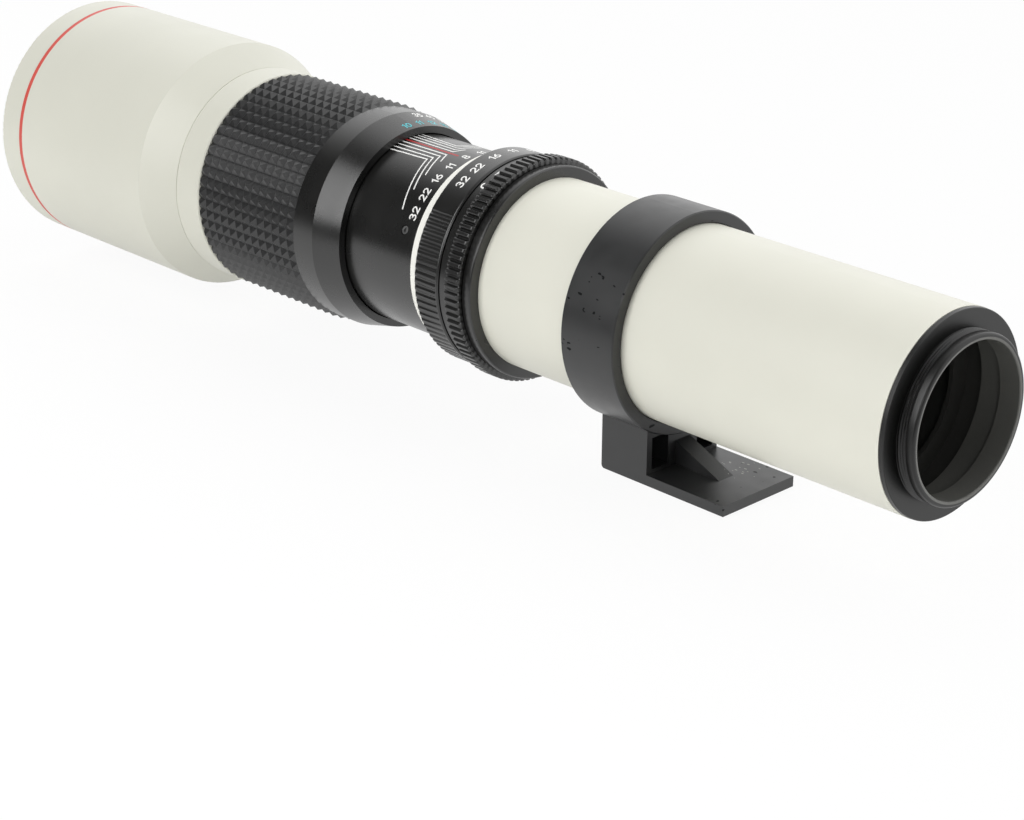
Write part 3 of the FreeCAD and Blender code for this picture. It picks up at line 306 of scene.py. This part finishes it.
NODE_MATERIALS = {
    "white_paint": FRONT_WHITE_SHADED,
    "cream_paint": CREAM,
    "black_anodised": BLACK,
    "black_enamel": ENAMEL,
    "matt_black": INSIDE_LIGHTENED,
    "rubber_grip": RUBBER,
    "coated_glass": GLASS,
    "steel": STEEL,
    "blade_steel": BLADE,
    "brass": BRASS,
    "collar_cloth": FELT,
}


def dress_nodes():
    """Gives each CAD node the material of its slot. The tube gets a lighter copy of the white, as painted
    light against the darker front copy, and a grey bore.
    """
    for entry in frame["record"]["subparts"]:
        mesh = frame["nodes"][entry["node"]].data
        mesh.materials.clear()
        mesh.materials.append(NODE_MATERIALS[entry["material_slot"]])
    # The tube's bore is dark paint lightened to grey, as painted light for the light that reaches it.
    paint_inside_lightened(TUBE_WHITE_LIT, 0.038)
    frame["nodes"]["rear_tube"].data.materials[0] = TUBE_WHITE_LIT


def soften(name, width, angle):
    """Rounds the edges of a CAD node that are sharper than an angle."""
    part = frame["nodes"][name]
    weld = part.modifiers.new("weld", "WELD")
    weld.merge_threshold = 0.001 * MM
    bevel = part.modifiers.new("soft_edges", "BEVEL")
    bevel.width = width
    bevel.segments = 3
    bevel.harden_normals = True
    bevel.limit_method = "ANGLE"
    bevel.angle_limit = math.radians(angle)


# Pieces


def new_piece(name, vertices, faces, material, body, sharp=25.0):
    """A mesh that rides on a body, shaded smooth apart from edges sharper than an angle."""
    mesh = bpy.data.meshes.new(name)
    mesh.from_pydata([tuple(vertex) for vertex in vertices], [], faces)
    mesh.validate()
    mesh.materials.append(material)
    mesh.shade_smooth()
    mesh.set_sharp_from_angle(angle=math.radians(sharp))
    piece = bpy.data.objects.new(name, mesh)
    bpy.context.scene.collection.objects.link(piece)
    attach(piece, body)
    return piece


def lathe(name, profile, material, body, segments=256, relief=None, sharp=25.0):
    """A closed profile of (x, radius) turned about the axis. Relief gives a new radius at an angle."""
    count = len(profile)
    vertices = []
    for step in range(segments):
        angle = 360.0 * step / segments
        for x, radius in profile:
            if relief:
                radius = relief(x, radius, angle)
            vertices.append(on_ring(x, radius, angle))
    faces = []
    for step in range(segments):
        here, there = step * count, (step + 1) % segments * count
        for k in range(count):
            j = (k + 1) % count
            faces.append((here + k, here + j, there + j, there + k))
    return new_piece(name, vertices, faces, material, body, sharp)


def ribbed(name, profile, body, relief):
    """A black ring with twelve steps to a rib, enough for sloped flanks."""
    return lathe(name, profile, BLACK, body,
                 segments=RIB_COUNT * 12, relief=relief, sharp=35.0)


def groove(angle, width):
    """From 0 on a rib to 1 on the floor of the groove beside it. The width is a share of the pitch."""
    steepness = 1.9
    phase = angle * RIB_COUNT / 360.0 % 1.0
    across = abs(phase - 0.5) / (width / 2)
    return min(1.0, max(0.0, steepness * (1.0 - across)))


def aperture_ring():
    """The ring with ribs all round, and a plain band in front that carries the index marks."""
    front, rear, top = ring("aperture_ring")
    bore = ring("iris_housing")[2] + TURN_GAP
    band = top - HUB_STEP
    ribs_front = rear - RIBS_SPAN
    edge, depth = 0.3 * MM, 0.7 * MM
    profile = [
        (rear, bore),
        (rear, top - depth),
        (rear - edge * 0.9, top - edge * 0.4),
        (rear - edge * 1.5, top),
        (rear - edge * 2.5, top),
        (ribs_front + edge * 2.5, top),
        (ribs_front + edge * 1.5, top),
        (ribs_front + edge * 0.9, top - edge * 0.4),
        (ribs_front, top - depth),
        (ribs_front, band),
        (front + edge * 0.5, band),
        (front, band - edge * 0.5),
        (front, bore),
    ]

    def ribs(x, radius, angle):
        if radius <= band:
            return radius
        return min(radius, top - depth * groove(angle, 0.55))

    piece = ribbed("aperture_ring_ribbed", profile, "aperture", ribs)
    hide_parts("aperture_ring")


def preset_ring():
    """The preset ring: smooth where the numbers are, and fine teeth round the rest."""
    front, rear, top = ring("preset_ring")
    bore = ring("iris_housing")[2] + TURN_GAP
    edge, depth, rim = 0.25 * MM, 0.4 * MM, 0.8 * MM
    knurl_start, knurl_end = 50.0, 300.3
    profile = [
        (rear, bore),
        (rear, top - edge * 1.4),
        (rear - edge * 0.9, top - edge * 0.3),
        (rear - edge * 1.6, top),
        (rear - rim + 0.05 * MM, top),
        (rear - rim - 0.15 * MM, top),
        (front + edge * 2.5, top),
        (front + edge * 1.6, top),
        (front + edge * 0.9, top - edge * 0.3),
        (front, top - edge * 1.4),
        (front, bore),
    ]

    def knurl(x, radius, angle):
        if radius <= bore or x > rear - rim or not knurl_start < angle < knurl_end:
            return radius
        return min(radius, top - depth * groove(angle, 0.6))

    piece = ribbed("preset_ring_knurled", profile, "preset", knurl)
    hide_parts("preset_ring")


def rear_mount():
    """The flange and the stub, with a few turns of thread behind a plain nose."""
    front, rear, flange = ring("rear_mount_ring")
    tube_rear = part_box("rear_tube")[1].x
    stub, throat = 21.0 * MM, 19.3 * MM
    spigot = flange - 1.7 * MM
    pitch, depth, fade_out = 0.75 * MM, 0.42 * MM, 0.4 * MM
    thread_start, thread_end, samples = 0.35 * MM, 2.8 * MM, 40
    edge, nose = 0.15 * MM, 0.7 * MM
    throat_end = -1.0 * MM
    profile = [
        (front, spigot - SPIGOT_WALL),
        (front, spigot),
        (tube_rear, spigot),
        (tube_rear, flange - edge),
        (tube_rear + edge, flange),
        (-edge, flange),
        (0.0, flange - edge),
        (0.0, stub),
        (edge, stub - 2 * edge),
    ]
    for k in range(samples + 1):
        profile.append((thread_start + (thread_end - thread_start) * k / samples, stub))
    for angle in range(0, 91, 15):
        turn = math.radians(angle)
        profile.append((rear - nose * (1 - math.sin(turn)), stub - nose * (1 - math.cos(turn))))
    profile += [
        (rear, throat + 0.35 * MM),
        (rear - 0.1 * MM, throat + 0.12 * MM),
        (rear - 0.35 * MM, throat),
        (throat_end, throat),
        (throat_end, spigot - SPIGOT_WALL),
    ]

    def thread(x, radius, angle):
        if abs(radius - stub) > 0.01 * MM or not thread_start <= x <= thread_end:
            return radius
        phase = (x / pitch - angle / 360.0) % 1.0
        fade = min(1.0, (thread_end - x) / fade_out)
        return radius - depth * abs(2 * phase - 1) * fade

    # The throat is dark paint lightened to a paler grey, as painted light for the light from the camera
    # end.
    paint_inside_lightened(MOUNT, 0.12)
    piece = lathe("mount_with_thread", profile, MOUNT, "barrel", relief=thread)
    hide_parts("rear_mount_ring")


def red_line():
    """The red line in the groove near the hood's mouth."""
    front, _, hood = ring("front_barrel")
    setback, width, depth, gap = 8.85 * MM, 1.5 * MM, 0.15 * MM, 0.02 * MM
    line_front = front + setback + gap
    line_rear = front + setback + width - gap
    floor_of_groove, top = hood - depth - gap, hood - 0.03 * MM
    lathe("hood_red_line", [
        (line_rear, floor_of_groove),
        (line_rear, top),
        (line_front, top),
        (line_front, floor_of_groove),
    ], RED_LINE, "focus_barrel")


# Markings


def printed(name, meshes, material, body):
    """One piece from several (vertices, faces) sets."""
    vertices, faces = [], []
    for points, polygons in meshes:
        start = len(vertices)
        vertices += points
        faces += [tuple(start + k for k in polygon) for polygon in polygons]
    return new_piece(name, vertices, faces, material, body)


def arc(middle, size, start, end):
    """Points along an ellipse, with angles counted from its right-hand end."""
    steps = max(4, round(abs(end - start) / 20))
    points = []
    for k in range(steps + 1):
        turn = math.radians(start + (end - start) * k / steps)
        points.append((middle[0] + size[0] * math.cos(turn), middle[1] + size[1] * math.sin(turn)))
    return points


# Each sign is one stroke of the engraver's tool, in a box one unit high. The first value is its width.
SIGNS = {
    "0": (0.56, arc((0.28, 0.5), (0.28, 0.5), 90, 450)),
    "1": (0.26, [(0.0, 0.76), (0.24, 1.0), (0.24, 0.0)]),
    "2": (0.56, arc((0.28, 0.71), (0.27, 0.29), 165, -30) + [(0.0, 0.0), (0.56, 0.0)]),
    "3": (0.54, arc((0.26, 0.76), (0.24, 0.24), 150, -80) + arc((0.26, 0.27), (0.28, 0.27), 85, -150)),
    "4": (0.6, [(0.44, 0.0), (0.44, 1.0), (0.0, 0.28), (0.6, 0.28)]),
    "5": (0.54, [(0.5, 1.0), (0.08, 1.0), (0.03, 0.56)] + arc((0.25, 0.32), (0.29, 0.32), 130, -145)),
    "6": (0.56, [(0.44, 1.0), (0.1, 0.55)] + arc((0.28, 0.31), (0.28, 0.31), 145, 505)),
    "8": (0.56, arc((0.28, 0.75), (0.23, 0.25), -90, 270) + arc((0.28, 0.26), (0.28, 0.26), 80, 440)),
    "C": (0.6, arc((0.36, 0.5), (0.36, 0.5), 40, 320)),
}
SIGN_GAP = 0.27

# How far a mark reaches below and above its surface.
SUNK, RAISED = 0.05 * MM, 0.015 * MM


def ribbon(route, width, spot):
    """A raised line of even width with round ends. 'spot' puts a flat point above or below the surface."""
    flat = [Vector(point) for point in route]
    fine = [flat[0]]
    longest, cap_angles, least_mitre = 0.8 * MM, (80, 55, 28), 0.5
    for start, end in zip(flat, flat[1:]):
        steps = max(1, math.ceil((end - start).length / longest))
        fine += [start.lerp(end, k / steps) for k in range(1, steps + 1)]
    final = len(fine) - 1
    sections = []
    for k, point in enumerate(fine):
        before = (point - fine[k - 1]).normalized() if k else (fine[1] - point).normalized()
        after = (fine[k + 1] - point).normalized() if k < final else before
        mean = (before + after).normalized()
        side = Vector((-mean.y, mean.x)) * (width / 2) / max(least_mitre, mean.dot(before))
        cap = []
        if k in (0, final):
            outward = -before if k == 0 else before
            for turn in cap_angles:
                lean = math.radians(turn)
                cap.append((point + outward * (width / 2) * math.sin(lean), side * math.cos(lean)))
        sections += cap + [(point, side)] if k == 0 else [(point, side)] + cap[::-1]
    points, polygons = [], []
    for point, side in sections:
        for flank, top in ((-1, False), (1, False), (1, True), (-1, True)):
            points.append(spot(point + side * flank, top))
    for k in range(len(sections) - 1):
        for m in range(4):
            n = (m + 1) % 4
            polygons.append((4 * k + m, 4 * k + n, 4 * k + 4 + n, 4 * k + 4 + m))
    last = 4 * (len(sections) - 1)
    polygons += [(3, 2, 1, 0), (last, last + 1, last + 2, last + 3)]
    return points, polygons


def word(text, x, angle, height, radius_at, weight=0.165):
    """Signs that follow the surface. They read from the camera end, their tops towards the front."""
    pen = weight * height
    width = sum(SIGNS[sign][0] for sign in text) + SIGN_GAP * (len(text) - 1)

    def spot(point, top):
        along = x - (point.y - height / 2)
        radius = radius_at(along)
        lift = RAISED if top else -SUNK
        return on_ring(along, radius + lift, angle - math.degrees(point.x / radius))

    meshes = []
    left = -width / 2
    for sign in text:
        span, stroke = SIGNS[sign]
        route = [((left + u) * height, pen / 2 + v * (height - pen)) for u, v in stroke]
        meshes.append(ribbon(route, pen, spot))
        left += span + SIGN_GAP
    return meshes


def even(radius):
    """The radius of a cylinder, as 'word' asks for it."""
    return lambda x: radius


def stripe(route, width, radius):
    """A raised line through (x, angle) points on a cylinder."""
    def spot(point, top):
        lift = RAISED if top else -SUNK
        return on_ring(point.x, radius + lift, math.degrees(point.y / radius))

    return ribbon([(x, math.radians(angle) * radius) for x, angle in route], width, spot)


# Angle of the red index, and of the middle of the numbers beside it.
INDEX = 7.9
NUMBERS_MIDDLE = INDEX - 1.1


def scale_marks():
    """The red index, the depth-of-field lines and their f-numbers on the black barrel."""
    _, rear, radius = ring("scale_barrel")
    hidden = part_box("focus_sleeve")[1].x - 1.0 * MM
    height, surface = 2.55 * MM, even(radius)
    numbers = word("8", rear - 4.5 * MM, NUMBERS_MIDDLE - 0.4, height, surface)
    for text, offset in (("11", 12.6), ("16", 24.3), ("22", 36.6), ("32", 49.3)):
        for side in (1, -1):
            numbers += word(text, rear - 4.3 * MM, NUMBERS_MIDDLE + side * offset, height, surface)
    printed("scale_numbers", numbers, WHITE_INK, "barrel")
    lines = []
    # How far the corner and the end of a line lie from the barrel's rear, in millimetres, and the
    # angles of its start, corner and end from the index.
    for corner, end, start_angle, corner_angle, end_angle in (
        (13.3, 9.0, 13.0, 11.8, 47.8),
        (12.2, 8.9, 9.7, 9.0, 34.4),
        (11.0, 8.8, 6.3, 5.8, 23.1),
        (10.0, 8.8, 2.9, 2.6, 9.8),
    ):
        for side in (1, -1):
            lines.append(stripe([
                (hidden, INDEX + side * start_angle),
                (rear - corner * MM, INDEX + side * corner_angle),
                (rear - end * MM, INDEX + side * end_angle),
            ], 0.4 * MM, radius))
    printed("depth_lines", lines, WHITE_INK, "barrel")
    index = stripe([(hidden, INDEX), (rear - 6.9 * MM, INDEX)], 0.6 * MM, radius)
    printed("red_index", [index], RED_INK, "barrel")


def distance_marks():
    """Metres in cyan and feet in white on the bevel of the focus sleeve."""
    _, rear, top = ring("focus_sleeve")
    span, rise = 8.85 * MM, 2.0 * MM
    height, weight = 2.15 * MM, 0.175

    def bevel(x):
        return top - rise + rise * (rear - x) / span

    metres, feet = [], []
    for near, far, turn in (
        ("10", "35", 0.0),
        ("11", "40", 9.2),
        ("12", "50", 18.6),
        ("15", "60", 28.0),
        ("20", "80", 37.6),
        ("30", "120", 48.4),
        ("50", "200", 61.0),
    ):
        metres += word(near, rear - 2.2 * MM, 2.8 - turn, height, bevel, weight)
        feet += word(far, rear - 6.8 * MM, -12.8 - turn, height, bevel, weight)
    printed("distance_metres", metres, CYAN_INK, "focus_barrel")
    printed("distance_feet", feet, WHITE_INK, "focus_barrel")


def ring_marks():
    """The f-numbers of the preset ring, and the letter and tick on the aperture ring's plain band."""
    front, rear, radius = ring("preset_ring")
    middle = (front + rear) / 2 - 0.45 * MM
    numbers = []
    for text, angle in (("32", 32.4), ("22", 21.1), ("16", 8.1), ("11", -4.7), ("8", -17.6)):
        numbers += word(text, middle, angle, 2.6 * MM, even(radius))
    printed("preset_numbers", numbers, WHITE_INK, "preset")
    front, _, top = ring("aperture_ring")
    band = top - HUB_STEP
    tick_front, tick_rear = front + 1.6 * MM, front + 2.75 * MM
    marks = word("C", front + 1.75 * MM, 30.2, 2.3 * MM, even(band), 0.21)
    marks.append(stripe([(tick_front, 20.6), (tick_front, 18.2), (tick_rear, 18.2)], 0.55 * MM, band))
    printed("aperture_marks", marks, WHITE_INK, "aperture")


def grub_screws():
    """Three small screws with hexagonal sockets in the scale barrel."""
    radius = ring("scale_barrel")[2]
    low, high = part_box("scale_screws")
    station = Vector(((low.x + high.x) / 2, 0, 0))
    sides, corner = 36, math.pi / 6
    # Reach and height in millimetres, from the rim's foot to the floor of the socket.
    rim = ((1.2, -1.0), (1.2, -0.35), (1.08, -0.25))
    socket = ((0.78, -0.25), (0.68, -0.35), (0.68, -0.95))
    rings = rim + socket
    last = (len(rings) - 1) * sides
    polygons = []
    for k in range(len(rings) - 1):
        for m in range(sides):
            n = (m + 1) % sides
            here, there = k * sides, (k + 1) * sides
            polygons.append((here + m, here + n, there + n, there + m))
    polygons.append(tuple(range(sides - 1, -1, -1)))
    polygons.append(tuple(last + m for m in range(sides)))
    sets = []
    for number in range(3):
        turn = Matrix.Rotation(math.radians(66.9 + 120.0 * number), 4, "X")
        points = []
        for k, (reach, height) in enumerate(rings):
            for m in range(sides):
                wave = 2 * math.pi * m / sides
                out = reach
                if k >= len(rim):
                    out = reach * math.cos(corner) / math.cos((wave % (2 * corner)) - corner)
                spot = Vector((out * math.cos(wave), out * math.sin(wave), radius / MM + height)) * MM
                points.append(turn @ (spot + station))
        sets.append((points, polygons))
    piece = printed("grub_screws", sets, SCREW, "barrel")
    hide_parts("scale_screws")


# Stage


def floor():
    """A floor that keeps the object's shadow and shows almost white to the camera and in reflections."""
    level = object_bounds()[0].z - 0.2 * MM
    near, far, side = -0.23, 4.0, 4.0
    corners = [(-side, near, level), (side, near, level), (side, far, level), (-side, far, level)]
    mesh = bpy.data.meshes.new("floor")
    mesh.from_pydata(corners, [], [(0, 1, 2, 3)])
    ground = bpy.data.objects.new("floor", mesh)
    bpy.context.scene.collection.objects.link(ground)
    material = new_material("floor_white", (0.93, 0.93, 0.93), 0.9)
    path = node(material, "ShaderNodeLightPath")
    mirrored = node(material, "ShaderNodeMath", operation="MAXIMUM")
    wire(material, path, "Is Glossy Ray", mirrored, 0)
    wire(material, path, "Is Transmission Ray", mirrored, 1)
    seen = node(material, "ShaderNodeMath", operation="MAXIMUM")
    wire(material, path, "Is Camera Ray", seen, 0)
    wire(material, mirrored, "Value", seen, 1)
    share = node(material, "ShaderNodeMath", operation="MULTIPLY")
    share.inputs[1].default_value = 0.92
    wire(material, seen, "Value", share, 0)
    mix = node(material, "ShaderNodeMixShader")
    wire(material, share, "Value", mix, "Fac")
    wire(material, shader_of(material), "BSDF", mix, 1)
    wire(material, node(material, "ShaderNodeEmission", Strength=1.0), "Emission", mix, 2)
    wire(material, mix, "Shader", material.node_tree.nodes["Material Output"], "Surface")
    mesh.materials.append(material)
    ground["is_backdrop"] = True


def world():
    """A studio that is bright behind the lens (+Y) and dark on the camera's side."""
    sky = bpy.data.worlds.new("studio")
    sky.use_nodes = True
    bpy.context.scene.world = sky
    background = sky.node_tree.nodes["Background"]
    background.inputs["Color"].default_value = (1.0, 1.0, 1.0, 1.0)
    axes = node(sky, "ShaderNodeSeparateXYZ")
    wire(sky, node(sky, "ShaderNodeTexCoord"), "Generated", axes, "Vector")
    depth = node(sky, "ShaderNodeMapRange", interpolation_type="SMOOTHSTEP",
                 From_Min=-0.36, From_Max=0.45, To_Min=0.05, To_Max=1.46)
    wire(sky, axes, "Y", depth, "Value")
    path = node(sky, "ShaderNodeLightPath")
    seen = node(sky, "ShaderNodeMath", operation="MAXIMUM")
    wire(sky, path, "Is Camera Ray", seen, 0)
    wire(sky, path, "Is Transmission Ray", seen, 1)
    level = node(sky, "ShaderNodeMix", B=1.0)
    wire(sky, seen, "Value", level, "Factor")
    wire(sky, depth, "Result", level, "A")
    wire(sky, level, "Result", background, "Strength")


def softbox(name, spot, target, size, power):
    """A rectangular lamp of (width, height) that looks at a target."""
    light = bpy.data.lights.new(name, "AREA")
    light.shape = "RECTANGLE"
    light.size, light.size_y = size
    light.energy = power
    lamp = bpy.data.objects.new(name, light)
    lamp.location = spot
    lamp.rotation_mode = "QUATERNION"
    lamp.rotation_quaternion = (Vector(target) - Vector(spot)).to_track_quat("-Z", "Y")
    bpy.context.scene.collection.objects.link(lamp)


def lights():
    """A small box for the rims of the camera end, and a large one for the side in the photograph."""
    softbox("rim_box", spot=(0.6, -0.72, 0.42), target=(-0.05, 0.0, 0.0), size=(0.35, 0.35), power=1.6)
    softbox("side_box", spot=(-0.33, -0.86, 0.53), target=(-0.2, 0.0, 0.0), size=(0.58, 1.05), power=7.8)


def camera():
    """The photograph's view, from a fit of the lens's circles and stations."""
    focal_px, frame_px, sensor = 2622.63, 1024.0, 36.0
    spot = (0.3248, -0.4599, 0.2346)
    right = Vector((0.6979, 0.7161, 0.0062)).normalized()
    forward = Vector((-0.6580, 0.6447, -0.3892)).normalized()
    up = right.cross(forward).normalized()
    right = forward.cross(up)
    data = bpy.data.cameras.new("photo_view")
    data.sensor_width = sensor
    data.lens = focal_px * sensor / frame_px
    data.clip_start = 0.01
    data.clip_end = 50.0
    view = bpy.data.objects.new("photo_view", data)
    bpy.context.scene.collection.objects.link(view)
    rows = [(right[k], up[k], -forward[k], spot[k]) for k in range(3)]
    view.matrix_world = Matrix((*rows, (0, 0, 0, 1)))
    bpy.context.scene.camera = view


dress_nodes()
soften("shoulder_ring", width=0.1 * MM, angle=30.0)
aperture_ring()
preset_ring()
rear_mount()
red_line()
scale_marks()
distance_marks()
ring_marks()
grub_screws()
floor()
world()
lights()
camera()
bpy.context.scene.view_settings.view_transform = "Standard"
